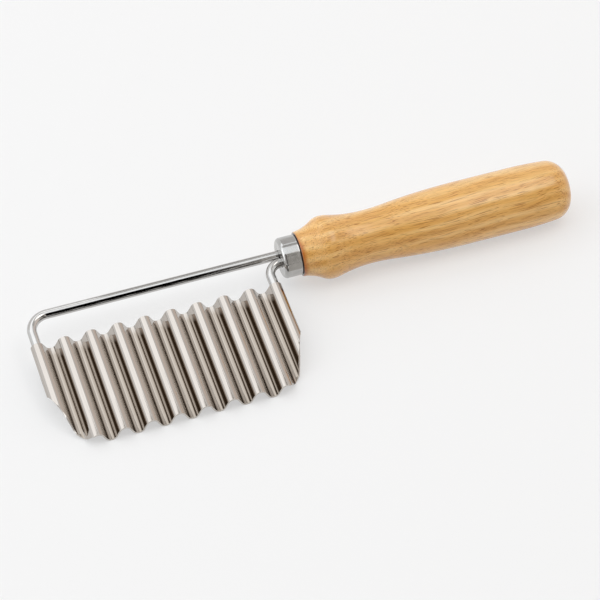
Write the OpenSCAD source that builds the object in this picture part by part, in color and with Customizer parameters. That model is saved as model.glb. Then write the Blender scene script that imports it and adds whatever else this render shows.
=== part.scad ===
// Hand cutter with a corrugated blade, held in a round wire frame with a turned wooden handle.
// The pieces are drawn in the tool's own axes: +X along the handle towards its butt, +Y towards
// the spine wire, +Z out of the blade's face. The middle of the ferrule's front face is at zero.
// Each piece is then laid down as the tool rests on a table, on its handle and on the valleys of
// its cutting edge: the table is at z = 0, and the middle of the whole outline at x = 0, y = 0.

/* [Blade] */
// Thickness of the corrugated sheet
sheet_t = 0.7; // [0.5:0.1:0.9]
// Number of crests, counting the two end crests that are rolled round the wire legs
crest_count = 10; // [6:1:14]
// Distance from one crest to the next
pitch = 11.2; // [10.4:0.1:14]
// Height of a crest above a valley, measured on one face of the sheet
wave_depth = 5.3; // [4.6:0.1:6.4]
// Width of the blade from its back edge to its cutting edge
blade_w = 51.2; // [40:0.2:65]
// How far a cut corner reaches along the cutting edge
corner_along = 12.4; // [9:0.2:16]
// How far a cut corner reaches up the end of the blade
corner_up = 26.4; // [16:0.1:30]

/* [Wire frame] */
// Diameter of both wires
wire_d = 4; // [3:0.1:4.8]
// Bend radius of the long wire at the middle of the wire
wire_bend_r = 8; // [5:0.5:9]
// Distance from the ferrule's front face to the middle of the heel wire's leg
stand_off = 6.2; // [5:0.1:12]
// Distance from the handle's axis to the back edge of the blade
back_drop = 13.2; // [10:0.1:20]
// Length of the straight tangs behind the ferrule's front face
tang_l = 48; // [30:1:60]

/* [Ferrule] */
// Outer diameter of the ferrule
ferrule_d = 17.2; // [15:0.1:20]
// Length of the ferrule
ferrule_l = 7.5; // [6:0.1:12]
// Wall of the ferrule
ferrule_t = 0.6; // [0.4:0.1:0.9]
// Outer radius of the ferrule's rounded shoulder
ferrule_r = 1.5; // [1.2:0.1:2.5]

/* [Handle] */
// Length of the wood from the ferrule's rear edge to the tip of the butt
handle_l = 119.6; // [98:0.2:160]
// How far the wood stands proud of the ferrule, all round
neck_step = 0.75; // [0.4:0.05:1.5]
// Largest diameter of the bulb behind the ferrule
bulb_d = 26.8; // [24:0.1:34]
// Distance from the ferrule's rear edge to the top of the bulb
bulb_x = 12.6; // [10:0.1:18]
// Diameter of the waist
waist_d = 22.4; // [19:0.1:23]
// Distance from the ferrule's rear edge to the waist
waist_x = 30.4; // [26:0.1:40]
// Diameter of the belly
belly_d = 26.9; // [24.5:0.1:34]
// Distance from the ferrule's rear edge to the start of the full belly
belly_x = 72.5; // [60:0.5:76]
// Radius of the long curve from the belly to the butt
taper_r = 180; // [120:5:260]
// Radius of the butt's rounded corner
butt_r = 8.3; // [6:0.1:9.5]
// Radius of the slightly domed end face
butt_face_r = 40; // [30:1:80]
// Thickness of the glue between the wires' outer sides and the bore
glue_t = 0.45; // [0.3:0.05:1]

/* [Hidden] */
$fn = 96;
// More sides for the long curves of the handle
FINE = 720;
// Clearance between pieces that are bent, glued or pressed round each other
fit_gap = 0.03;
// Gap all round the two wires in the ferrule's slot
slot_gap = 0.15;
// Gap between the ferrule's rear edge and the wood's shoulder
seam = 0.4;
// Gap between the tenon's front and the inside of the ferrule's front wall
tenon_end_gap = 0.4;
// Chamfers of the tenon's front edge and of the wood's edge at the seam
tenon_chamfer = 1.1;
neck_chamfer = 0.35;
// How far ahead of the wood's shoulder the neck's hollow has its lowest point
neck_lead = 1.6;
// Share of each double curve that is round and not hollow: neck to bulb, bulb to waist, waist to belly
bulb_front_share = 0.28;
bulb_back_share = 0.19;
belly_share = 0.77;
// How far the radius has come in where the butt's corner starts
butt_taper = 0.7;
// Space past the tangs at the bottom of the bore
bore_end_gap = 0.4;
// Angle by which a rolled edge stops short of the sheet's own wall
roll_stop = 5;
// Straight stretch of the heel wire between the ferrule's front face and its bend
heel_lead = 0.2;
// Where the two cuts of a lower corner meet, as shares of its reach along the edge and up the end
corner_knee_along = 0.55;
corner_knee_up = 0.246;
// How much further up a rolled lip is cut at its free edge, because the sheet is cut while it is flat
lip_cut = 13.3;
// How far above the corner cuts the wire legs end inside the rolled ends
leg_short = 4;
// Overshoot of cuts past the surfaces that they go through
over = 1;
// How far neighbouring parts of one outline run into each other
lap = 0.04;
// How deep a wall's faces cut into the bends at its ends, so that the faces meet at a clear angle
wall_bite = 0.003;

wire_r = wire_d / 2;
pair_y = wire_r + fit_gap / 2;
heel_x = -stand_off;
far_x = heel_x - (crest_count - 1) * pitch;
heel_bend_r = min(stand_off - heel_lead, wire_bend_r);
back_y = -back_drop;
edge_y = back_y - blade_w;
leg_end_y = edge_y + corner_up + leg_short;

// All bends of the sheet have the radii that its end crests need to close round the wires
bend_ri = wire_r + fit_gap;
bend_ro = bend_ri + sheet_t;
bend_r = bend_ri + sheet_t / 2;

// Wave: crests are centred on the wires' plane, and straight walls join them to the valleys
valley_drop = wave_depth - 2 * bend_r;
centre_gap = norm([pitch / 2, valley_drop]);
wall_angle = atan2(valley_drop, pitch / 2) + asin(2 * (bend_r - wall_bite) / centre_gap);
roll_end_angle = 360 - wall_angle - acos(bend_ri / bend_ro) - roll_stop;

ferrule_ro = ferrule_d / 2;
tenon_r = ferrule_ro - ferrule_t - fit_gap;
tenon_x = ferrule_t + tenon_end_gap;
shoulder_x = ferrule_l + seam;
bore_r = pair_y + wire_r + glue_t;
bore_end = tang_l + bore_end_gap;

// Stations of the turned profile along the axis, and their radii
neck_low_x = shoulder_x - neck_lead;
neck_r = ferrule_ro + neck_step;
bulb_top_x = ferrule_l + bulb_x;
bulb_r = bulb_d / 2;
waist_low_x = ferrule_l + waist_x;
waist_r = waist_d / 2;
belly_top_x = ferrule_l + belly_x;
belly_r = belly_d / 2;
tip_x = ferrule_l + handle_l;

// Sum of the two radii of a double curve that rises by dr over dx and is level at both ends
function double_curve(dx, dr) = (dx * dx + dr * dr) / (2 * dr);
neck_sum = double_curve(bulb_top_x - neck_low_x, bulb_r - neck_r);
waist_sum = double_curve(waist_low_x - bulb_top_x, bulb_r - waist_r);
belly_sum = double_curve(belly_top_x - waist_low_x, belly_r - waist_r);
neck_turn_x = bulb_top_x - bulb_front_share * (bulb_top_x - neck_low_x);
waist_turn_x = bulb_top_x + bulb_back_share * (waist_low_x - bulb_top_x);
belly_turn_x = belly_top_x - belly_share * (belly_top_x - waist_low_x);
neck_hollow_r = (1 - bulb_front_share) * neck_sum;
neck_edge_r = neck_r + neck_hollow_r - sqrt(pow(neck_hollow_r, 2) - pow(neck_lead, 2));

// Butt: a long taper, a round corner and a domed end face, each tangent to the next
corner_y = belly_r - butt_taper - butt_r;
face_x = tip_x - butt_face_r;
corner_x = face_x + sqrt(pow(butt_face_r - butt_r, 2) - pow(corner_y, 2));
taper_x = corner_x - sqrt(pow(taper_r - butt_r, 2) - pow(taper_r - butt_r - butt_taper, 2));
corner_start_x = taper_x + (corner_x - taper_x) * taper_r / (taper_r - butt_r);
face_top_y = corner_y * butt_face_r / (butt_face_r - butt_r);

// Rest on a table: rolled about the handle's axis until the cutting edge touches as the handle does
handle_r = max(bulb_r, belly_r);
valley_low = valley_drop + bend_ro;
rest_roll = asin(handle_r / norm([edge_y, valley_low])) - atan2(valley_low, -edge_y);
rest_mid_x = (far_x - bend_ro + tip_x) / 2;
rest_mid_y = (handle_r + edge_y * cos(rest_roll) - bend_ro * sin(rest_roll)) / 2;

// Lays a piece down from the tool's own axes to its rest on the table
module at_rest() {
    translate([-rest_mid_x, -rest_mid_y, handle_r])
        rotate([rest_roll, 0, 0])
            children();
}

// Spins an outline, drawn as place along the axis and radius, round the handle's axis
module turned() {
    rotate([0, 90, 0])
        rotate_extrude()
            mirror([1, -1, 0])
                children();
}

// Part of the outline from x0 to x1, under a round arc whose top is at (top_x, top_r)
module round_strip(x0, x1, top_x, top_r, arc_r) {
    intersection() {
        translate([x0, 0])
            square([x1 - x0 + lap, top_r]);
        translate([top_x, top_r - arc_r])
            circle(r = arc_r, $fn = FINE);
    }
}

// Part of the outline from x0 to x1, under a hollow arc whose lowest point is at (low_x, low_r)
module hollow_strip(x0, x1, low_x, low_r, arc_r) {
    difference() {
        translate([x0, 0])
            square([x1 - x0 + lap, low_r + arc_r / 2]);
        translate([low_x, low_r + arc_r])
            circle(r = arc_r, $fn = FINE);
    }
}

// Wooden tenon under the ferrule
module tenon_outline() {
    polygon([
        [tenon_x, 0],
        [tenon_x, tenon_r - tenon_chamfer],
        [tenon_x + tenon_chamfer, tenon_r],
        [shoulder_x + lap, tenon_r],
        [shoulder_x + lap, 0]
    ]);
}

// Neck that flares from the shoulder at the seam up to the bulb, with its front edge broken
module neck_outline() {
    difference() {
        hollow_strip(shoulder_x, neck_turn_x, neck_low_x, neck_r, neck_hollow_r);
        translate([shoulder_x, neck_edge_r])
            polygon([
                [-neck_chamfer, -2 * neck_chamfer],
                [2 * neck_chamfer, neck_chamfer],
                [-neck_chamfer, neck_chamfer]
            ]);
    }
}

// Butt end of the handle, from the end of the full belly to the tip
module butt_outline() {
    round_strip(taper_x, corner_start_x, taper_x, belly_r, taper_r);
    intersection() {
        translate([corner_x, corner_y])
            circle(r = butt_r, $fn = FINE);
        translate([corner_start_x, 0])
            square([butt_r, belly_r]);
    }
    intersection() {
        translate([face_x, 0])
            circle(r = butt_face_r, $fn = FINE);
        translate([corner_start_x, 0])
            square([tip_x - corner_start_x + over, face_top_y]);
    }
}

// Turned outline behind the ferrule
module handle_outline() {
    neck_outline();
    round_strip(neck_turn_x, bulb_top_x, bulb_top_x, bulb_r, bulb_front_share * neck_sum);
    round_strip(bulb_top_x, waist_turn_x, bulb_top_x, bulb_r, bulb_back_share * waist_sum);
    hollow_strip(waist_turn_x, waist_low_x, waist_low_x, waist_r, (1 - bulb_back_share) * waist_sum);
    hollow_strip(waist_low_x, belly_turn_x, waist_low_x, waist_r, (1 - belly_share) * belly_sum);
    round_strip(belly_turn_x, belly_top_x, belly_top_x, belly_r, belly_share * belly_sum);
    translate([belly_top_x, 0])
        square([taper_x - belly_top_x + lap, belly_r]);
    butt_outline();
}

// Turned wooden handle with a tenon for the ferrule and a blind bore for the tangs
module handle() {
    color("#d9a765")
        at_rest()
            difference() {
                union() {
                    turned()
                        handle_outline();
                    turned()
                        tenon_outline();
                }
                rotate([0, 90, 0])
                    cylinder(r = bore_r, h = bore_end);
            }
}

// Outline of a cup from x0 to x1 with a closed front and a rounded shoulder
module cup_outline(x0, x1, r, shoulder) {
    translate([x0 + shoulder, 0])
        square([x1 - x0 - shoulder, r]);
    translate([x0, 0])
        square([shoulder + lap, r - shoulder]);
    translate([x0 + shoulder, r - shoulder])
        circle(r = shoulder);
}

// Both wires side by side with a gap round them, as one solid from x0 to x1
module wire_pair(x0, x1, gap) {
    translate([x0, 0, 0])
        rotate([90, 0, 90])
            linear_extrude(height = x1 - x0) {
                for (side = [-1, 1])
                    translate([side * pair_y, 0])
                        circle(r = wire_r + gap);
                square([2 * pair_y, 2 * (wire_r + gap)], center = true);
            }
}

// Drawn metal cup, pressed over the tenon, with a slot for the two wires
module ferrule() {
    color("#c9cacb")
        at_rest()
            difference() {
                turned()
                    difference() {
                        cup_outline(0, ferrule_l, ferrule_ro, ferrule_r);
                        cup_outline(ferrule_t, ferrule_l + over, ferrule_ro - ferrule_t, ferrule_r - ferrule_t);
                    }
                wire_pair(-over, ferrule_t + over, slot_gap);
            }
}

// Set glue that fills the bore round the two tangs
module tang_glue() {
    color("#b9a26a")
        at_rest()
            difference() {
                translate([tenon_x, 0, 0])
                    rotate([0, 90, 0])
                        cylinder(r = bore_r - fit_gap, h = tang_l - tenon_x);
                wire_pair(tenon_x - over, tang_l + over, fit_gap);
            }
}

// Wire that comes forward from its tang at height y, then bends down into a leg at leg_x
module bent_wire(y, leg_x, bend) {
    translate([leg_x + bend, y, 0])
        rotate([0, 90, 0])
            cylinder(r = wire_r, h = tang_l - leg_x - bend);
    translate([leg_x + bend, y - bend, 0])
        rotate([0, 0, 90])
            rotate_extrude(angle = 90)
                translate([bend, 0])
                    circle(r = wire_r);
    translate([leg_x, y - bend, 0])
        rotate([90, 0, 0])
            cylinder(r = wire_r, h = y - bend - leg_end_y);
}

// What is cut off at the two lower corners of the sheet
module corner_cuts() {
    for (end = [[far_x - bend_ro, 1], [heel_x + bend_ro, -1]])
        translate([end[0], edge_y, -2 * wave_depth])
            linear_extrude(height = 4 * wave_depth)
                polygon([
                    [0, corner_up],
                    [end[1] * corner_knee_along * corner_along, corner_knee_up * corner_up],
                    [end[1] * corner_along, 0],
                    [end[1] * corner_along, -over],
                    [-end[1] * corner_along, -over],
                    [-end[1] * corner_along, corner_up]
                ]);
}

// Long wire: tang, spine above the blade, far bend and far leg
module spine_wire() {
    color("#b4b5b6")
        at_rest()
            bent_wire(pair_y, far_x, wire_bend_r);
}

// Short wire: tang, bend in front of the ferrule and leg at the heel of the blade
module heel_wire() {
    color("#b4b5b6")
        at_rest()
            bent_wire(-pair_y, heel_x, heel_bend_r);
}

// Spreads an outline, drawn in the X and Z directions, over the blade's width and past it by extra
module along_blade(extra) {
    translate([0, back_y + extra, 0])
        rotate([90, 0, 0])
            linear_extrude(height = blade_w + 2 * extra)
                children();
}

// Place of bend number i of the wave: crests are even and valleys are odd
function bend_place(i) = [far_x + i * pitch / 2, i % 2 == 0 ? 0 : -valley_drop];

// Both ends of the flat walls at bend number i, on a face whose radius is r there
function wall_ends(i, r) = [
    for (side = [-1, 1])
        bend_place(i) + (r - wall_bite) * [side * sin(wall_angle), (i % 2 == 0 ? 1 : -1) * cos(wall_angle)]
];

// Everything below one face of the wave, from the radii of that face at the crests and the valleys
module below_face(crest_r, valley_r, extra) {
    last = 2 * crest_count - 2;
    floor_z = -2 * wave_depth - extra;
    difference() {
        union() {
            along_blade(extra)
                polygon(concat(
                    [[wall_ends(0, crest_r)[0][0], floor_z]],
                    [for (i = [0 : last]) each wall_ends(i, i % 2 == 0 ? crest_r : valley_r)],
                    [[wall_ends(last, crest_r)[1][0], floor_z]]
                ));
            for (i = [0 : 2 : last])
                along_blade(extra)
                    translate(bend_place(i))
                        circle(r = crest_r);
        }
        for (i = [1 : 2 : last])
            along_blade(extra + over)
                translate(bend_place(i))
                    circle(r = valley_r);
    }
}

// Wave between the middles of the two end crests
module wave() {
    intersection() {
        difference() {
            below_face(bend_ro, bend_ri, 0);
            below_face(bend_ri, bend_ro, over);
        }
        translate([far_x, edge_y - over, -3 * wave_depth])
            cube([heel_x - far_x, blade_w + 2 * over, 6 * wave_depth]);
    }
}

// Rest of an end crest: from its middle over the outer side, round under the wire and back up
module roll() {
    steps = ceil(roll_end_angle / 60);
    difference() {
        circle(r = bend_ro);
        circle(r = bend_ri);
        polygon(concat([[0, 0]], [
            for (i = [0 : steps])
                let(a = (360 - roll_end_angle) * i / steps)
                    2 * bend_ro * [sin(a), cos(a)]
        ]));
    }
}

// What the same cuts take off the rolled lips below the wires: more, the nearer to their free edges
module lip_cuts() {
    reach = 2 * bend_ro;
    inner = bend_ri - fit_gap;
    low = -2 * wave_depth;
    for (end = [[far_x, 1], [heel_x, -1]])
        intersection() {
            translate([end[0] - end[1] * bend_ro, edge_y, low])
                linear_extrude(height = -low)
                    polygon([
                        [0, corner_up],
                        [end[1] * reach, corner_up + lip_cut],
                        [end[1] * reach, -over],
                        [-end[1] * over, -over],
                        [-end[1] * over, corner_up]
                    ]);
            along_blade(over)
                polygon([for (p = [
                    [-bend_ro - over, 0],
                    [inner / sin(wall_angle), 0],
                    [(inner - low * cos(wall_angle)) / sin(wall_angle), low],
                    [-bend_ro - over, low]
                ]) [end[0] + end[1] * p[0], p[1]]]);
        }
}

// Corrugated stainless sheet, rolled round both legs, with its lower corners cut off
module blade() {
    color("#c4c3bf")
        at_rest()
            difference() {
                union() {
                    wave();
                    along_blade(0)
                        translate([far_x, 0])
                            roll();
                    along_blade(0)
                        translate([heel_x, 0])
                            mirror([1, 0])
                                roll();
                }
                corner_cuts();
                lip_cuts();
            }
}

handle();
ferrule();
tang_glue();
spine_wire();
heel_wire();
blade();
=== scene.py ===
import math

import bmesh
import bpy
from mathutils import Matrix, Vector


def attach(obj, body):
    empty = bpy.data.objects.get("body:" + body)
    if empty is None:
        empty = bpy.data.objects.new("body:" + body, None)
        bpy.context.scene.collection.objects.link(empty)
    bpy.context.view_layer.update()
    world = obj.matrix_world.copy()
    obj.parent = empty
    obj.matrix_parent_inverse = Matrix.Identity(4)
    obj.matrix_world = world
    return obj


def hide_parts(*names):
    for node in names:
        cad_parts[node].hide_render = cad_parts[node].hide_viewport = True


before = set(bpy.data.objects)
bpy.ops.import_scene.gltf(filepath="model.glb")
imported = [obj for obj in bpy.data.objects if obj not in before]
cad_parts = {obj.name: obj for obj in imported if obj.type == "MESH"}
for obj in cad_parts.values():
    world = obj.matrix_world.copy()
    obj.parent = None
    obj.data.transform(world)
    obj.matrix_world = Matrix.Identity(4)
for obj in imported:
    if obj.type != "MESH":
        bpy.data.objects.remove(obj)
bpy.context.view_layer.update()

# The cutter lies on the table on its handle and on its whole cutting edge, so it is rolled a
# little about the handle's axis. Its pieces are shaped in its own axes, in millimetres from the
# middle of the ferrule's front face, and are then laid down in this place.
MM = 0.001
BELLY_R = 13.45
EDGE_Y = -64.4
VALLEY_LOW = 3.27
BEND_OUTER_R = 2.73
BLADE_FAR_X = -109.73
BUTT_TIP_X = 127.1
ROLL = math.asin(BELLY_R / math.hypot(EDGE_Y, VALLEY_LOW)) - math.atan2(VALLEY_LOW, -EDGE_Y)
MIDDLE_X = (BLADE_FAR_X + BUTT_TIP_X) / 2
MIDDLE_Y = (BELLY_R + EDGE_Y * math.cos(ROLL) - BEND_OUTER_R * math.sin(ROLL)) / 2
LAID_DOWN = (
    Matrix.Translation(Vector((-MIDDLE_X, -MIDDLE_Y, BELLY_R)) * MM)
    @ Matrix.Rotation(ROLL, 4, "X")
)

# Camera, as a long lens about 1.2 m away, above the front edge of the blade and turned to its
# left. Its directions and its place are in the cutter's own axes.
CAMERA_AWAY = 1200
CAMERA_ASIDE = 8.471
CAMERA_BELOW = 16.996
camera = bpy.data.cameras.new("camera")
camera.lens = 174.24
camera.sensor_width = 36
back = Vector((-0.1908, -0.5841, 0.7890)).normalized()
right = Vector((0.9506, -0.3105, 0.0)).normalized()
up = back.cross(right)
stand = (back * CAMERA_AWAY + right * CAMERA_ASIDE - up * CAMERA_BELOW) * MM
turn = Matrix((right, up, back)).transposed().to_4x4()
camera_object = bpy.data.objects.new("camera", camera)
bpy.context.collection.objects.link(camera_object)
camera_object.matrix_world = LAID_DOWN @ Matrix.Translation(stand) @ turn
bpy.context.scene.camera = camera_object
bpy.context.scene.view_settings.view_transform = "Standard"


# Table and room. The table is a sheet of matt white paper, and the room is even and pale all
# round. Soft boxes, cards, flags and cloths round the table light the cutter, and bright metal
# mirrors them as white, grey and black bands. The camera looks past them.
def paint(hex_code, alpha=1.0):
    """The linear colour of an sRGB hex code."""
    parts = [int(hex_code[i:i + 2], 16) / 255 for i in (1, 3, 5)]
    return (
        *(c / 12.92 if c <= 0.04045 else ((c + 0.055) / 1.055) ** 2.4 for c in parts), alpha,
    )


def add(tree, kind, inputs=None, stops=None, **settings):
    """Adds a node with its settings, its input values or links, and the stops of its ramp."""
    made = tree.nodes.new("ShaderNode" + kind)
    for key, value in settings.items():
        setattr(made, key, value)
    for key, value in (inputs or {}).items():
        if isinstance(value, bpy.types.NodeSocket):
            tree.links.new(value, made.inputs[key])
        else:
            made.inputs[key].default_value = value
    if stops:
        ramp = made.color_ramp.elements
        ramp.remove(ramp[1])
        ramp[0].position, ramp[0].color = stops[0]
        for place, colour in stops[1:]:
            ramp.new(place).color = colour
    return made


def new_material(name):
    """An empty material and its node tree."""
    made = bpy.data.materials.new(name)
    made.use_nodes = True
    made.node_tree.nodes.clear()
    return made, made.node_tree


def lay_plane(name, centre, size, turned_by, material):
    """A flat plane of a width and height, at its place, with its size and turn applied."""
    bpy.ops.object.select_all(action="DESELECT")
    bpy.ops.mesh.primitive_plane_add(size=1, location=centre, rotation=turned_by)
    plane = bpy.context.object
    plane.name = name
    plane.scale = (size[0], size[1], 1)
    bpy.ops.object.transform_apply(location=True, rotation=True, scale=True)
    plane.data.materials.append(material)
    return plane


# Matt white paper, which holds the cutter's soft shadow. For the camera and for mirrors a little
# over half of it is a flat glow, as even as the photograph's background.
PALE = "#f6f6f6"
GLOW_SHARE = 0.55
TABLE_SIZE = 14
table_paper, nodes = new_material("matt white paper")
path = add(nodes, "LightPath")
lit = add(nodes, "BsdfDiffuse", {"Color": paint("#ededed")})
flat = add(nodes, "Emission", {"Color": paint(PALE)})
seen = add(nodes, "Math", {
    0: path.outputs["Is Camera Ray"], 1: path.outputs["Is Glossy Ray"],
}, operation="ADD")
seen = add(nodes, "Math", {
    0: seen.outputs[0], 1: path.outputs["Is Transmission Ray"],
}, operation="ADD", use_clamp=True)
seen = add(nodes, "Math", {0: seen.outputs[0], 1: GLOW_SHARE}, operation="MULTIPLY")
mix = add(nodes, "MixShader", {0: seen.outputs[0], 1: lit.outputs[0], 2: flat.outputs[0]})
add(nodes, "OutputMaterial", {"Surface": mix.outputs[0]})
lay_plane("table", (0, 0, 0), (TABLE_SIZE, TABLE_SIZE), (0, 0, 0), table_paper)

world = bpy.data.worlds.new("pale room")
bpy.context.scene.world = world
world.use_nodes = True
nodes = world.node_tree
nodes.nodes.clear()
room = add(nodes, "Background", {"Color": paint(PALE), "Strength": 1.0})
add(nodes, "OutputWorld", {"Surface": room.outputs[0]})


def glowing_card(name, centre, size, turned_by, colour, strength=1.0):
    """An evenly glowing card, which the camera looks past."""
    material, nodes = new_material(name)
    glow = add(nodes, "Emission", {"Color": paint(colour), "Strength": strength})
    add(nodes, "OutputMaterial", {"Surface": glow.outputs[0]})
    card = lay_plane(name, centre, size, turned_by, material)
    card.visible_camera = False
    return card


CARD_DISTANCE = 1.5


def hang_card(name, low, high, left, right_end, colour, strength=1.0):
    """A soft box or a card across the table, between two angles that run from the horizon behind
    the cutter over its top to the horizon in front, in degrees."""
    tilt = math.radians((low + high) / 2)
    height = 2 * CARD_DISTANCE * math.tan(math.radians(high - low) / 2)
    centre = (
        (left + right_end) / 2, CARD_DISTANCE * math.cos(tilt), CARD_DISTANCE * math.sin(tilt),
    )
    glowing_card(
        name, centre, (right_end - left, height), (tilt + math.pi / 2, 0, 0), colour, strength,
    )


def stand_card(name, x, front, rear, top, colour, strength=1.0):
    """An upright soft box or card at one side of the table."""
    centre = (x, (front + rear) / 2, top / 2)
    glowing_card(name, centre, (top, rear - front), (0, math.pi / 2, 0), colour, strength)


# The ends of the cards are in metres. What lies along the handle's axis mirrors them 0.29 m
# further to the right, so the spine wire shows them up to 0.275, and then come the ferrule and
# the handle.
hang_card("soft box over the blade", 48, 66, -2.4, 0.1, "#f9fcff", 1.8)
hang_card("soft strip over the blade", 60.3, 64.5, 0.1, 0.45, "#f9fcff", 1.8)
hang_card("grey card behind", 12, 60.3, 0.1, 0.272, "#bebcba")
hang_card("pale card behind", 12, 60.3, 0.272, 0.5, "#e4e2e0")
hang_card("grey card above", 64.5, 80, 0.1, 0.272, "#b6b4b2")
hang_card("pale card above", 64.5, 80, 0.272, 2.4, "#d2d0ce")
hang_card("soft box above", 80, 118, -2.4, 0.272, "#f9fcff", 1.5)
hang_card("soft box over the ferrule", 80, 118, 0.272, 0.36, "#f9fcff", 1.25)
hang_card("soft box over the handle", 72, 122, 0.36, 0.9, "#fffcf8", 3.0)
hang_card("pale flag on the left", 118, 180, -2.2, -0.7, "#c4c1be")
hang_card("mid grey flag on the left", 118, 180, -0.7, 0.0, "#7c7976")
hang_card("black flag", 118, 180, 0.0, 0.225, "#030303")
hang_card("dark grey flag", 118, 180, 0.225, 0.25, "#3a3836")
hang_card("black strip", 122, 137, 0.25, 0.262, "#141414")
hang_card("grey strip", 122, 137, 0.262, 0.275, "#7a7672")
hang_card("grey flag", 137, 180, 0.25, 0.275, "#8e8984")
hang_card("pale flag", 120, 180, 0.275, 0.5, "#ccc8c3")
hang_card("mid grey flag on the right", 122, 180, 0.5, 1.1, "#7c7976")
hang_card("pale flag on the right", 122, 180, 1.1, 2.2, "#c4c1be")
stand_card("soft box on the left", -1.7, -0.6, 0.8, 2.6, "#f9fcff", 2.2)
stand_card("soft box behind on the left", -1.7, 0.8, 1.6, 2.6, "#f9fcff", 1.1)
stand_card("warm card on the right", 1.7, -1.0, 1.6, 1.9, "#f6ebe4")

CLOTH_HEIGHT = 0.001
CLOTH_SLANT = 0.2


def lay_cloth(name, left, right_end, rear, front, colour):
    """A cloth just over the table, slanted the way that the wires mirror it. Only bright metal
    and lacquer show it, so the paper stays white."""
    centre = ((left + right_end) / 2, (rear + front) / 2, CLOTH_HEIGHT)
    cloth = glowing_card(name, centre, (right_end - left, rear - front), (0, 0, 0), colour)
    for corner in cloth.data.vertices:
        corner.co.x -= CLOTH_SLANT * corner.co.y
    cloth.visible_diffuse = False
    cloth.visible_shadow = False


lay_cloth("dark cloth in front", -0.13, -0.009, -0.08, -1.6, "#0c0b0a")
# Painted shadow: a dark sheet under the blade, seen only in metal and lacquer, stands in for the
# blade's shadow on the paper
lay_cloth("painted shadow under the blade", -0.12, -0.009, 0.005, -0.014, "#0c0b0a")
lay_cloth("grey cloth in front", -0.008, 0.3, 0.005, -1.6, "#c8c4bf")

# Handle, turned from one piece of light, even rubberwood with short dark pores, and finished
# with clear gloss lacquer. Its tenon is pressed into the ferrule, and its bore takes the tangs.
FERRULE_L = 7.5
SEAM = 0.4
SHOULDER_X = FERRULE_L + SEAM
TENON_X, TENON_R, TENON_CHAMFER = 1.0, 7.97, 1.1
BORE_R, BORE_END = 4.465, 48.4
# The broken edge of the shoulder, as steps along the axis and outwards from where the neck starts
SHOULDER_EDGE = ((0.0, -0.35), (0.12, -0.13), (0.35, 0.03))
# Where each curve of the outline is level, as the place along the axis and the radius there
NECK_LOW = (6.3, 9.35)
BULB_TOP = (20.1, 13.4)
WAIST_LOW = (37.9, 11.2)
BELLY_TOP = (80.0, 13.45)
# Radii of the curves, and where a hollow one and a round one run into each other
NECK_R, BULB_FRONT_R, BULB_BACK_R = 18.386, 7.15, 13.89
WAIST_FRONT_R, WAIST_BACK_R, BELLY_ARC_R = 59.22, 90.85, 304.14
NECK_TURN_X, WAIST_TURN_X, BELLY_TURN_X = 16.236, 23.482, 47.583
TAPER_X, TAPER_R = 102.998, 180.0
BUTT_CORNER, BUTT_R, FACE_R = (118.486, 4.45), 8.3, 40.0


def arc(centre, radius, start, end, count):
    """Points on an arc, as (x, y), from one angle to another in degrees."""
    angles = [math.radians(start + (end - start) * i / count) for i in range(count + 1)]
    return [(centre[0] + radius * math.cos(a), centre[1] + radius * math.sin(a)) for a in angles]


def curve(low, high, radius, top_x, top_r, count):
    """Points of the outline between two stations, on an arc that is level at (top_x, top_r). A
    hollow arc has a negative radius."""
    side = math.copysign(1, radius)
    stations = [low + (high - low) * i / count for i in range(count + 1)]
    return [
        (x, top_r - side * (abs(radius) - math.sqrt(radius ** 2 - (x - top_x) ** 2)))
        for x in stations
    ]


corner_start = math.degrees(
    math.asin((BUTT_CORNER[1] - (BELLY_R - TAPER_R)) / (TAPER_R - BUTT_R))
)
corner_end = math.degrees(math.asin(BUTT_CORNER[1] / (FACE_R - BUTT_R)))
corner_start_x = BUTT_CORNER[0] + BUTT_R * math.cos(math.radians(corner_start))

neck = curve(SHOULDER_X, NECK_TURN_X, -NECK_R, *NECK_LOW, 14)
outline = [
    (BORE_END, 0), (BORE_END, BORE_R), (TENON_X, BORE_R), (TENON_X, TENON_R - TENON_CHAMFER),
    (TENON_X + TENON_CHAMFER, TENON_R), (SHOULDER_X, TENON_R),
]
outline += [(SHOULDER_X + x, neck[0][1] + r) for x, r in SHOULDER_EDGE] + neck[1:]
outline += curve(NECK_TURN_X, BULB_TOP[0], BULB_FRONT_R, *BULB_TOP, 12)[1:]
outline += curve(BULB_TOP[0], WAIST_TURN_X, BULB_BACK_R, *BULB_TOP, 8)[1:]
outline += curve(WAIST_TURN_X, WAIST_LOW[0], -WAIST_FRONT_R, *WAIST_LOW, 10)[1:]
outline += curve(WAIST_LOW[0], BELLY_TURN_X, -WAIST_BACK_R, *WAIST_LOW, 8)[1:]
outline += curve(BELLY_TURN_X, BELLY_TOP[0], BELLY_ARC_R, *BELLY_TOP, 14)[1:]
outline += [(TAPER_X, BELLY_R)]
outline += curve(TAPER_X, corner_start_x, TAPER_R, TAPER_X, BELLY_R, 8)[1:]
outline += arc(BUTT_CORNER, BUTT_R, corner_start, corner_end, 16)[1:]
outline += arc((BUTT_TIP_X - FACE_R, 0), FACE_R, corner_end, 0, 6)[1:]


def start_piece(name):
    """Names the primitive that was just added, and opens it for editing with all of it selected."""
    piece = bpy.context.object
    piece.name = name
    piece.data.name = name
    bpy.ops.object.mode_set(mode="EDIT")
    bpy.ops.mesh.select_all(action="SELECT")
    return piece


def close_seams():
    """Merges doubled corners and turns the faces of the open piece outwards."""
    bpy.ops.mesh.select_all(action="SELECT")
    bpy.ops.mesh.remove_doubles(threshold=0.002 * MM)
    bpy.ops.mesh.normals_make_consistent(inside=False)


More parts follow.
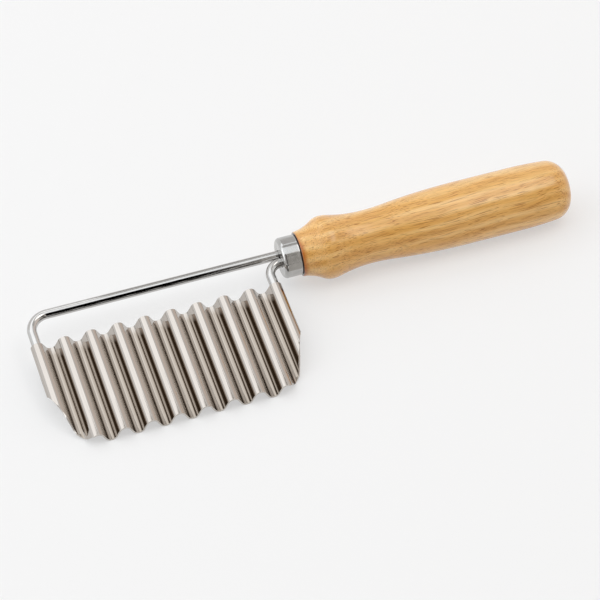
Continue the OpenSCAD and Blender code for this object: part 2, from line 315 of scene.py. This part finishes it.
def finish_piece(piece, sharp=35.0):
    """Closes the open piece, lays it down and shades it smooth up to an angle in degrees."""
    close_seams()
    bpy.ops.object.mode_set(mode="OBJECT")
    piece.matrix_world = LAID_DOWN @ piece.matrix_world
    bpy.ops.object.transform_apply(location=True, rotation=True, scale=True)
    bpy.ops.object.shade_smooth_by_angle(angle=math.radians(sharp))


def turn_on_lathe(name, outline, steps):
    """Spins an outline of (place along the axis, radius) round the handle's axis."""
    bpy.ops.object.select_all(action="DESELECT")
    bpy.ops.mesh.primitive_plane_add(size=MM, location=(0, 0, 0))
    piece = start_piece(name)
    bpy.ops.mesh.merge(type="CENTER")
    bpy.ops.transform.translate(value=Vector((outline[0][0], 0, outline[0][1])) * MM)
    for (x0, r0), (x1, r1) in zip(outline, outline[1:]):
        step = Vector((x1 - x0, 0, r1 - r0)) * MM
        bpy.ops.mesh.extrude_region_move(TRANSFORM_OT_translate={"value": step})
    bpy.ops.mesh.select_all(action="SELECT")
    bpy.ops.mesh.spin(steps=steps, angle=2 * math.pi, center=(0, 0, 0), axis=(1, 0, 0))
    return piece


AROUND = 144
handle = turn_on_lathe("turned_handle", outline, AROUND)
finish_piece(handle)

# Lacquered rubberwood: pale gold wood with fine brown dashes along it, under a clear coat that
# mirrors the soft boxes as broad pale sheens. The patterns run from the handle's axis, in
# millimetres, and the grain is a little out of line with it.
AXIS_PLACE = (0, -25.3, -13.45)
wood, nodes = new_material("lacquered rubberwood")
place = add(nodes, "TexCoord")
grain = add(nodes, "Mapping", {
    "Vector": place.outputs["Object"],
    "Location": AXIS_PLACE,
    "Rotation": (0, math.radians(0.8), math.radians(-0.6)),
    "Scale": (1000, 1000, 1000),
})
# Slow bends of the grain, by a millimetre or two over 50 mm
sway = add(nodes, "Mapping", {"Vector": grain.outputs[0], "Scale": (0.02, 0.05, 0.05)})
sway = add(nodes, "TexNoise", {"Vector": sway.outputs[0], "Scale": 1.0, "Detail": 2.0})
sway = add(nodes, "VectorMath", {
    0: sway.outputs["Color"], 1: (0.5, 0.5, 0.5),
}, operation="SUBTRACT")
sway = add(nodes, "VectorMath", {0: sway.outputs[0], 1: (0.0, 6.0, 6.0)}, operation="MULTIPLY")
bent = add(nodes, "VectorMath", {0: grain.outputs[0], 1: sway.outputs[0]}, operation="ADD")
# Growth rings about 5 mm apart, round a heart that is nearly 50 mm away
ring = add(nodes, "Mapping", {
    "Vector": bent.outputs[0], "Location": (0, 1.1, 0.9), "Scale": (0.0, 0.03, 0.03),
})
ring = add(nodes, "TexWave", {
    "Vector": ring.outputs[0],
    "Scale": 2.2,
    "Distortion": 1.5,
    "Detail": 3.0,
    "Detail Scale": 1.5,
}, wave_type="RINGS", rings_direction="X")
# Broad streaks of warmer wood, about 3 mm wide and 60 mm long
streak = add(nodes, "Mapping", {"Vector": bent.outputs[0], "Scale": (0.016, 0.30, 0.30)})
streak = add(nodes, "TexNoise", {
    "Vector": streak.outputs[0], "Scale": 1.0, "Detail": 4.0, "Roughness": 0.6,
})
# Fine fibres, 0.3 mm wide
fibre = add(nodes, "Mapping", {"Vector": bent.outputs[0], "Scale": (0.07, 3.0, 3.0)})
fibre = add(nodes, "TexNoise", {
    "Vector": fibre.outputs[0], "Scale": 1.0, "Detail": 3.0, "Roughness": 0.6,
})
# Open pores, about 0.2 mm wide and cut along their length into dashes of several millimetres,
# which crowd together in the warmer streaks
pore = add(nodes, "Mapping", {"Vector": bent.outputs[0], "Scale": (0.11, 3.7, 3.7)})
pore = add(nodes, "TexNoise", {
    "Vector": pore.outputs[0], "Scale": 1.0, "Detail": 1.0, "Roughness": 0.4,
})
crowd = add(nodes, "Math", {
    0: streak.outputs["Fac"], 1: 0.2, 2: pore.outputs["Fac"],
}, operation="MULTIPLY_ADD")
pore = add(nodes, "ValToRGB", {0: crowd.outputs[0]}, stops=[
    (0.67, (0, 0, 0, 1)), (0.78, (1, 1, 1, 1)),
])
# Colour of the rings and streaks, shaded by the fibres and darkened in the pores
tone = add(nodes, "Math", {0: ring.outputs["Fac"], 1: 0.25}, operation="MULTIPLY")
tone = add(nodes, "Math", {
    0: streak.outputs["Fac"], 1: 0.7, 2: tone.outputs[0],
}, operation="MULTIPLY_ADD")
tone = add(nodes, "ValToRGB", {0: tone.outputs[0]}, stops=[
    (0.28, paint("#eec27e")), (0.48, paint("#e5b063")), (0.70, paint("#d69c4f")),
])
shade = add(nodes, "MapRange", {0: fibre.outputs["Fac"], 1: 0.3, 2: 0.7, 3: 0.86, 4: 1.1})
tone = add(nodes, "Mix", {
    0: 1.0, 6: tone.outputs["Color"], 7: shade.outputs[0],
}, data_type="RGBA", blend_type="MULTIPLY")
depth = add(nodes, "Math", {0: pore.outputs["Color"], 1: 0.7}, operation="MULTIPLY")
colour = add(nodes, "Mix", {
    0: depth.outputs[0], 6: tone.outputs[2], 7: paint("#94500f"),
}, data_type="RGBA")
# Painted shade: the shoulder's rounded edge is painted orange-brown as if in shadow, for about 2 mm
# on the side of the blade and hardly at all on the other side, which run into each other over 10 mm
# round the axis
EDGE_START = (SHOULDER_X - MIDDLE_X) * MM
EDGE_END = (SHOULDER_X + 1.0 - MIDDLE_X) * MM
along = add(nodes, "SeparateXYZ", {0: place.outputs["Object"]})
side = add(nodes, "MapRange", {0: along.outputs[1], 1: 0.030, 2: 0.020, 3: 0.5, 4: 2.2})
edge_shade = add(nodes, "MapRange", {
    0: along.outputs[0], 1: EDGE_END, 2: EDGE_START,
}, clamp=False)
edge_shade = add(nodes, "Math", {
    0: side.outputs[0], 1: 1.0, 2: edge_shade.outputs[0],
}, operation="MULTIPLY_ADD")
edge_shade = add(nodes, "MapRange", {0: edge_shade.outputs[0], 1: 1.0, 2: 2.6, 3: 0.0, 4: 0.85})
colour = add(nodes, "Mix", {
    0: edge_shade.outputs[0], 6: colour.outputs[2], 7: paint("#b4601c"),
}, data_type="RGBA")
# Painted shade: a dark line on the wood against the ferrule, where the seam between them lies in
# shade
seam_shade_mask = add(nodes, "MapRange", {0: along.outputs[0], 1: EDGE_END, 2: EDGE_START})
dark = add(nodes, "ValToRGB", {0: seam_shade_mask.outputs[0]}, stops=[
    (0.85, (0, 0, 0, 1)), (0.97, (1, 1, 1, 1)),
])
colour = add(nodes, "Mix", {
    0: dark.outputs["Color"], 6: colour.outputs[2], 7: paint("#3b2210"),
}, data_type="RGBA")
# The lacquer is handled thin at the corner of the butt, where the wood has gone a little darker
worn = add(nodes, "MapRange", {
    0: along.outputs[0],
    1: (BUTT_TIP_X - 6.0 - MIDDLE_X) * MM,
    2: (BUTT_TIP_X - 1.5 - MIDDLE_X) * MM,
})
worn = add(nodes, "Math", {0: worn.outputs[0], 1: streak.outputs["Fac"]}, operation="MULTIPLY")
worn = add(nodes, "Math", {0: worn.outputs[0], 1: 0.35}, operation="MULTIPLY")
colour = add(nodes, "Mix", {
    0: worn.outputs[0], 6: colour.outputs[2], 7: paint("#a8682c"),
}, data_type="RGBA")
# Fibres and pores lie up to 0.02 mm deep under the coat, and the pores are duller
relief = add(nodes, "Math", {
    0: fibre.outputs["Fac"], 1: 0.3, 2: pore.outputs["Color"],
}, operation="MULTIPLY_ADD")
bump = add(nodes, "Bump", {
    "Height": relief.outputs[0], "Strength": 0.25, "Distance": 0.02 * MM,
}, invert=True)
dull = add(nodes, "MapRange", {0: pore.outputs["Color"], 3: 0.42, 4: 0.6})
gloss = add(nodes, "BsdfPrincipled", {
    "Base Color": colour.outputs[2],
    "Roughness": dull.outputs[0],
    "IOR": 1.5,
    "Specular IOR Level": 0.15,
    "Coat Weight": 1.0,
    "Coat Roughness": 0.17,
    "Normal": bump.outputs[0],
})
add(nodes, "OutputMaterial", {"Surface": gloss.outputs[0]})
handle.data.materials.append(wood)
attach(handle, "root")
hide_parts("handle")

# Ferrule, a cup drawn from thin sheet, bright nickel-chrome plated, and pressed on the tenon.
# Its closed front has a slot that the two wires come out of side by side.
FERRULE_R = 8.6
FERRULE_T = 0.6
FERRULE_SHOULDER = 1.5
FRONT_FLAT_R = 5.4
RIM_L = 0.3
PAIR_Y = 2.015
SLOT_R = 2.15

shoulder = arc((FERRULE_SHOULDER, FERRULE_R - FERRULE_SHOULDER), FERRULE_SHOULDER, 90, 180, 12)
cup = [
    (FERRULE_L, FERRULE_R), (FERRULE_L - RIM_L, FERRULE_R), *shoulder,
    (0, FRONT_FLAT_R), (0, SLOT_R),
]
ferrule = turn_on_lathe("drawn_ferrule", cup, AROUND)
bpy.ops.mesh.select_all(action="SELECT")
bpy.ops.mesh.remove_doubles(threshold=0.002 * MM)
# The round hole in the front is drawn apart into the slot
shape = bmesh.from_edit_mesh(ferrule.data)
for corner in shape.verts:
    if math.hypot(corner.co.y, corner.co.z) < (SLOT_R + 0.01) * MM:
        corner.co.y += math.copysign(PAIR_Y * MM, corner.co.y)
bmesh.update_edit_mesh(ferrule.data)
close_seams()
bpy.ops.object.mode_set(mode="OBJECT")
# The cup is open, so its faces may have turned inwards together
front = min(ferrule.data.polygons, key=lambda face: face.center.x)
if front.normal.x > 0:
    ferrule.data.flip_normals()


def apply_modifier(piece, kind, **settings):
    """Adds a modifier with its settings and applies it at once."""
    modifier = piece.modifiers.new(kind.lower(), kind)
    for key, value in settings.items():
        setattr(modifier, key, value)
    bpy.context.view_layer.objects.active = piece
    bpy.ops.object.modifier_apply(modifier=modifier.name)


def round_edges(piece, width):
    """Rounds the square edges of a piece by a width in millimetres."""
    apply_modifier(
        piece, "BEVEL",
        width=width * MM, segments=2, limit_method="ANGLE", angle_limit=math.radians(50),
    )


apply_modifier(ferrule, "SOLIDIFY", thickness=FERRULE_T * MM, offset=-1, use_even_offset=True)
round_edges(ferrule, 0.08)
bpy.ops.object.mode_set(mode="EDIT")
finish_piece(ferrule)
apply_modifier(ferrule, "WEIGHTED_NORMAL", keep_sharp=True)

# Nickel-chrome plate: a cool, bright mirror with faint turning lines 0.2 mm apart and a little
# waviness 3 mm wide, milky where it is rubbed
chrome, nodes = new_material("bright nickel-chrome plate")
place = add(nodes, "TexCoord")
spun = add(nodes, "Mapping", {
    "Vector": place.outputs["Object"], "Location": AXIS_PLACE, "Scale": (1000, 1000, 1000),
})
line = add(nodes, "Mapping", {"Vector": spun.outputs[0], "Scale": (5.0, 0.12, 0.12)})
line = add(nodes, "TexNoise", {
    "Vector": line.outputs[0], "Scale": 1.0, "Detail": 4.0, "Roughness": 0.7,
})
cloud = add(nodes, "TexNoise", {"Vector": spun.outputs[0], "Scale": 0.35, "Detail": 3.0})
rough = add(nodes, "MapRange", {0: cloud.outputs["Fac"], 1: 0.3, 2: 0.7, 3: 0.07, 4: 0.14})
# The plate is rubbed duller on its two rims, in patches, for half a millimetre
along = add(nodes, "SeparateXYZ", {0: place.outputs["Object"]})
rim_place = add(nodes, "Math", {
    0: along.outputs[0], 1: (FERRULE_L / 2 - MIDDLE_X) * MM,
}, operation="SUBTRACT")
rim_place = add(nodes, "Math", {0: rim_place.outputs[0]}, operation="ABSOLUTE")
worn = add(nodes, "MapRange", {
    0: rim_place.outputs[0], 1: (FERRULE_L / 2 - 0.5) * MM, 2: FERRULE_L / 2 * MM,
})
worn = add(nodes, "Math", {0: worn.outputs[0], 1: line.outputs["Fac"]}, operation="MULTIPLY")
rough = add(nodes, "Math", {
    0: worn.outputs[0], 1: 0.25, 2: rough.outputs[0],
}, operation="MULTIPLY_ADD")
tint = add(nodes, "ValToRGB", {0: cloud.outputs["Fac"]}, stops=[
    (0.3, paint("#bfbebc")), (0.7, paint("#b4b3b1")),
])
height = add(nodes, "Math", {
    0: cloud.outputs["Fac"], 1: 6.0, 2: line.outputs["Fac"],
}, operation="MULTIPLY_ADD")
bump = add(nodes, "Bump", {
    "Height": height.outputs[0], "Strength": 0.35, "Distance": 0.004 * MM,
})
metal = add(nodes, "BsdfPrincipled", {
    "Base Color": tint.outputs["Color"],
    "Metallic": 1.0,
    "Roughness": rough.outputs[0],
    "Normal": bump.outputs[0],
})
add(nodes, "OutputMaterial", {"Surface": metal.outputs[0]})
ferrule.data.materials.append(chrome)
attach(ferrule, "root")
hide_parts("ferrule")

# Wire frame, of two lengths of 4 mm round steel wire, drawn, bent cold and bright plated. The
# long one is the tool's spine and its far leg, and the short one is the heel leg. Their straight
# tangs lie side by side in the bore, and their legs end inside the rolled ends of the blade.
WIRE_R = 2.0
TANG_END = 48.0
FAR_X = -107.0
HEEL_X = -6.2
FAR_BEND_R = 8.0
HEEL_BEND_R = 6.0
LEG_END_Y = -34.0


def pull_out(length, count):
    """Draws the selected end out over a length, as a vector in millimetres, in equal steps."""
    for _ in range(count):
        bpy.ops.mesh.extrude_region_move(TRANSFORM_OT_translate={"value": length * MM / count})


def bend_wire(name, tang_y, leg_x, bend):
    """A round wire that comes forward from its tang and is bent down into its leg."""
    bend_x, bend_y = leg_x + bend, tang_y - bend
    bpy.ops.object.select_all(action="DESELECT")
    bpy.ops.mesh.primitive_circle_add(
        vertices=64, radius=WIRE_R * MM, fill_type="NGON",
        location=Vector((TANG_END, tang_y, 0)) * MM, rotation=(0, math.pi / 2, 0),
    )
    bpy.ops.object.transform_apply(location=True, rotation=True)
    piece = start_piece(name)
    pull_out(Vector((bend_x - TANG_END, 0, 0)), 24)
    bpy.ops.mesh.spin(
        steps=24, angle=math.pi / 2, center=Vector((bend_x, bend_y, 0)) * MM, axis=(0, 0, -1),
    )
    pull_out(Vector((0, LEG_END_Y - bend_y, 0)), 8)
    finish_piece(piece, sharp=50)
    return piece


# Bright plated wire: a mirror that draws the room out into long white and black bands, with
# faint drawing lines along it and a few dull pits a quarter of a millimetre wide
plated_wire, nodes = new_material("bright plated round wire")
place = add(nodes, "TexCoord")
drawn = add(nodes, "Mapping", {"Vector": place.outputs["Object"], "Scale": (1000, 1000, 1000)})
cloud = add(nodes, "TexNoise", {"Vector": drawn.outputs[0], "Scale": 0.22, "Detail": 4.0})
along = add(nodes, "Mapping", {"Vector": drawn.outputs[0], "Scale": (0.04, 3.0, 3.0)})
along = add(nodes, "TexNoise", {"Vector": along.outputs[0], "Scale": 1.0, "Detail": 3.0})
speck = add(nodes, "TexVoronoi", {"Vector": drawn.outputs[0], "Scale": 0.35})
speck = add(nodes, "ValToRGB", {0: speck.outputs["Distance"]}, stops=[
    (0.0, (1, 1, 1, 1)), (0.09, (0, 0, 0, 1)),
])
rough = add(nodes, "MapRange", {0: cloud.outputs["Fac"], 1: 0.3, 2: 0.7, 3: 0.03, 4: 0.09})
rough = add(nodes, "Math", {
    0: speck.outputs["Color"], 1: 0.25, 2: rough.outputs[0],
}, operation="MULTIPLY_ADD")
tint = add(nodes, "ValToRGB", {0: cloud.outputs["Fac"]}, stops=[
    (0.3, paint("#c6c4c1")), (0.7, paint("#bebcba")),
])
height = add(nodes, "Math", {
    0: cloud.outputs["Fac"], 1: 5.0, 2: along.outputs["Fac"],
}, operation="MULTIPLY_ADD")
height = add(nodes, "Math", {
    0: speck.outputs["Color"], 1: 1.5, 2: height.outputs[0],
}, operation="MULTIPLY_ADD")
bump = add(nodes, "Bump", {
    "Height": height.outputs[0], "Strength": 0.3, "Distance": 0.004 * MM,
})
metal = add(nodes, "BsdfPrincipled", {
    "Base Color": tint.outputs["Color"],
    "Metallic": 1.0,
    "Roughness": rough.outputs[0],
    "Normal": bump.outputs[0],
})
add(nodes, "OutputMaterial", {"Surface": metal.outputs[0]})

for name, node, tang_y, leg_x, bend in (
    ("long_spine_wire", "spine_wire", PAIR_Y, FAR_X, FAR_BEND_R),
    ("short_heel_wire", "heel_wire", -PAIR_Y, HEEL_X, HEEL_BEND_R),
):
    wire = bend_wire(name, tang_y, leg_x, bend)
    wire.data.materials.append(plated_wire)
    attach(wire, "root")
    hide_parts(node)

# Blade, one stainless sheet 0.7 mm thick that is pressed into round waves. Its two end waves are
# rolled right round the wire legs, which hold it. Its two lower corners are cut off the flat
# sheet, so the rolled lips below the wires are cut further up than the waves above them.
SHEET_T = 0.7
BACK_Y = -13.2
PITCH = 11.2
BEND_R = 2.38
VALLEY_Z = -0.54
CREST_COUNT = 10
ROLL_END = 249.9
# A corner cut and the cut of the lip below it, as steps in from the end of the blade and up from
# its edge. The lip is the sheet's underside, up to this far in from the end.
CORNER = ((0.0, 26.4), (6.82, 6.49), (12.4, 0.0))
LIP = ((0.0, 26.4), (5.46, 39.7))
LIP_W = 5.33
wall_angle = math.degrees(
    math.atan2(-VALLEY_Z, PITCH / 2) + math.asin(2 * BEND_R / math.hypot(PITCH / 2, VALLEY_Z))
)

# The waves as seen from the cutting edge, from the free edge of the far roll to that of the heel
# roll. Each wall is the straight step between two bends.
wave = arc((FAR_X, 0), BEND_R, 90 + ROLL_END, 180, 28)
wave += arc((FAR_X, 0), BEND_R, 180, 90 - wall_angle, 26)[1:]
for crest in range(1, CREST_COUNT):
    valley = (FAR_X + (crest - 0.5) * PITCH, VALLEY_Z)
    wave += arc(valley, BEND_R, 270 - wall_angle, 270 + wall_angle, 20)
    if crest < CREST_COUNT - 1:
        wave += arc((FAR_X + crest * PITCH, 0), BEND_R, 90 + wall_angle, 90 - wall_angle, 20)
wave += arc((HEEL_X, 0), BEND_R, 90 + wall_angle, 0, 26)
wave += arc((HEEL_X, 0), BEND_R, 0, 90 - ROLL_END, 28)[1:]


def cut_along(steps, end, side, lip):
    """Cuts the waves, or else the lip, along steps in from the sheet's end and up from its edge."""
    shape = bmesh.from_edit_mesh(bpy.context.object.data)
    for (x0, y0), (x1, y1) in zip(steps, steps[1:]):
        for face in shape.faces:
            middle = face.calc_center_bounds() / MM
            face.select_set(lip == (middle.z < 0 and side * (middle.x - end) < LIP_W))
        start = Vector((end + side * x0, EDGE_Y + y0, 0)) * MM
        outward = Vector((side * (y1 - y0), x0 - x1, 0)).normalized()
        bpy.ops.mesh.bisect(plane_co=start, plane_no=outward, clear_outer=True)


bpy.ops.object.select_all(action="DESELECT")
bpy.ops.mesh.primitive_plane_add(size=MM, location=(0, 0, 0))
blade = start_piece("wavy_blade")
bpy.ops.mesh.merge(type="CENTER")
bpy.ops.transform.translate(value=Vector((wave[0][0], BACK_Y, wave[0][1])) * MM)
for (x0, z0), (x1, z1) in zip(wave, wave[1:]):
    pull_out(Vector((x1 - x0, 0, z1 - z0)), 1)
bpy.ops.mesh.select_all(action="SELECT")
pull_out(Vector((0, EDGE_Y - BACK_Y, 0)), 8)
for end, side in ((BLADE_FAR_X, 1), (HEEL_X + BEND_OUTER_R, -1)):
    cut_along(CORNER, end, side, lip=False)
    cut_along(LIP, end, side, lip=True)
close_seams()
bpy.ops.object.mode_set(mode="OBJECT")
# Two places for materials, the second for the rim that the thickness adds
for _ in range(2):
    blade.data.materials.append(None)
apply_modifier(
    blade, "SOLIDIFY",
    thickness=SHEET_T * MM, offset=0, use_even_offset=True, material_offset_rim=1,
)
round_edges(blade, 0.07)
bpy.ops.object.mode_set(mode="EDIT")
finish_piece(blade)
apply_modifier(blade, "WEIGHTED_NORMAL", keep_sharp=True, weight=100)

# Polished stainless sheet: a warm grey mirror, with painted reflection stripes along the waves and
# polishing lines half a millimetre apart. The patterns lie in the cutter's own axes, in
# millimetres.
steel, nodes = new_material("polished stainless sheet")
place = add(nodes, "TexCoord")
laid = Matrix.Rotation(-ROLL, 3, "X") @ Vector((-MIDDLE_X, -MIDDLE_Y, BELLY_R))
rolled = add(nodes, "Mapping", {
    "Vector": place.outputs["Object"],
    "Location": tuple(-laid),
    "Rotation": (-ROLL, 0, 0),
    "Scale": (1000, 1000, 1000),
})
cloud = add(nodes, "TexNoise", {"Vector": rolled.outputs[0], "Scale": 0.15, "Detail": 3.0})
line = add(nodes, "Mapping", {"Vector": rolled.outputs[0], "Scale": (2.2, 0.05, 2.2)})
line = add(nodes, "TexNoise", {
    "Vector": line.outputs[0], "Scale": 1.0, "Detail": 4.0, "Roughness": 0.65,
})
rough = add(nodes, "MapRange", {0: line.outputs["Fac"], 1: 0.3, 2: 0.7, 3: 0.02, 4: 0.07})
tint = add(nodes, "ValToRGB", {0: line.outputs["Fac"]}, stops=[
    (0.3, paint("#bfb8b1")), (0.7, paint("#b4ada6")),
])
# Painted reflections: dark stripes along the foot of each wave, where the bright sheet would mirror
# dark surroundings and its own shade, the same on every wave, each with its place across the wave
# and how much of the steel's colour it leaves. The darker it is, the browner. They fade out in the
# last 3 mm before the back edge.
PAINTED_REFLECTION_LINES = (
    (0.285, 1.0), (0.315, 0.35), (0.335, 0.1), (0.385, 0.1), (0.415, 0.75), (0.445, 1.0),
    (0.475, 0.6), (0.505, 0.85), (0.535, 0.7), (0.56, 0.66), (0.59, 0.75), (0.62, 0.95),
    (0.69, 1.0), (0.82, 1.0),
)
across = add(nodes, "SeparateXYZ", {0: rolled.outputs[0]})
wave_place = add(nodes, "Math", {0: across.outputs[0], 1: -FAR_X}, operation="ADD")
wave_place = add(nodes, "Math", {0: wave_place.outputs[0], 1: PITCH}, operation="DIVIDE")
wave_place = add(nodes, "Math", {0: wave_place.outputs[0]}, operation="FRACT")
drawn = add(nodes, "ValToRGB", {0: wave_place.outputs[0]}, stops=[
    (line_place, (left, left ** 1.15, left ** 1.35, 1)) for line_place, left in PAINTED_REFLECTION_LINES
])
fade = add(nodes, "MapRange", {0: across.outputs[1], 1: BACK_Y - 1.0, 2: BACK_Y - 4.0})
tint = add(nodes, "Mix", {
    0: fade.outputs[0], 6: tint.outputs["Color"], 7: drawn.outputs["Color"],
}, data_type="RGBA", blend_type="MULTIPLY")
height = add(nodes, "Math", {
    0: cloud.outputs["Fac"], 1: 4.0, 2: line.outputs["Fac"],
}, operation="MULTIPLY_ADD")
bump = add(nodes, "Bump", {
    "Height": height.outputs[0], "Strength": 0.12, "Distance": 0.004 * MM,
})
metal = add(nodes, "BsdfPrincipled", {
    "Base Color": tint.outputs[2],
    "Metallic": 1.0,
    "Roughness": rough.outputs[0],
    "Normal": bump.outputs[0],
})
add(nodes, "OutputMaterial", {"Surface": metal.outputs[0]})

# Sheared rim, satin with fine marks across the thickness of the sheet, which catch the light
rim, nodes = new_material("sheared stainless edge")
place = add(nodes, "TexCoord")
shear = add(nodes, "Mapping", {"Vector": place.outputs["Object"], "Scale": (4000, 4000, 600)})
shear = add(nodes, "TexNoise", {"Vector": shear.outputs[0], "Scale": 1.0, "Detail": 2.0})
rough = add(nodes, "MapRange", {0: shear.outputs["Fac"], 1: 0.3, 2: 0.7, 3: 0.22, 4: 0.38})
tint = add(nodes, "ValToRGB", {0: shear.outputs["Fac"]}, stops=[
    (0.3, paint("#cfcac4")), (0.7, paint("#b9b3ac")),
])
bump = add(nodes, "Bump", {
    "Height": shear.outputs["Fac"], "Strength": 0.5, "Distance": 0.01 * MM,
})
metal = add(nodes, "BsdfPrincipled", {
    "Base Color": tint.outputs["Color"],
    "Metallic": 1.0,
    "Roughness": rough.outputs[0],
    "Normal": bump.outputs[0],
})
add(nodes, "OutputMaterial", {"Surface": metal.outputs[0]})
blade.data.materials[0] = steel
blade.data.materials[1] = rim
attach(blade, "root")
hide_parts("blade")

# Glue in the bore, an amber two-part epoxy that was poured round the tangs and set there. It is
# a little cloudy, in patches 3 mm wide, and half glossy. It keeps its CAD shape.
resin, nodes = new_material("amber epoxy resin")
place = add(nodes, "TexCoord")
cloud = add(nodes, "TexNoise", {
    "Vector": place.outputs["Object"], "Scale": 300.0, "Detail": 3.0,
})
tint = add(nodes, "ValToRGB", {0: cloud.outputs["Fac"]}, stops=[
    (0.3, paint("#b99a5e")), (0.7, paint("#a5854b")),
])
rough = add(nodes, "MapRange", {0: cloud.outputs["Fac"], 1: 0.3, 2: 0.7, 3: 0.25, 4: 0.4})
bump = add(nodes, "Bump", {
    "Height": cloud.outputs["Fac"], "Strength": 0.4, "Distance": 0.1 * MM,
})
glue = add(nodes, "BsdfPrincipled", {
    "Base Color": tint.outputs["Color"],
    "Roughness": rough.outputs[0],
    "Normal": bump.outputs[0],
})
add(nodes, "OutputMaterial", {"Surface": glue.outputs[0]})
for material_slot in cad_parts["tang_glue"].material_slots:
    material_slot.material = resin
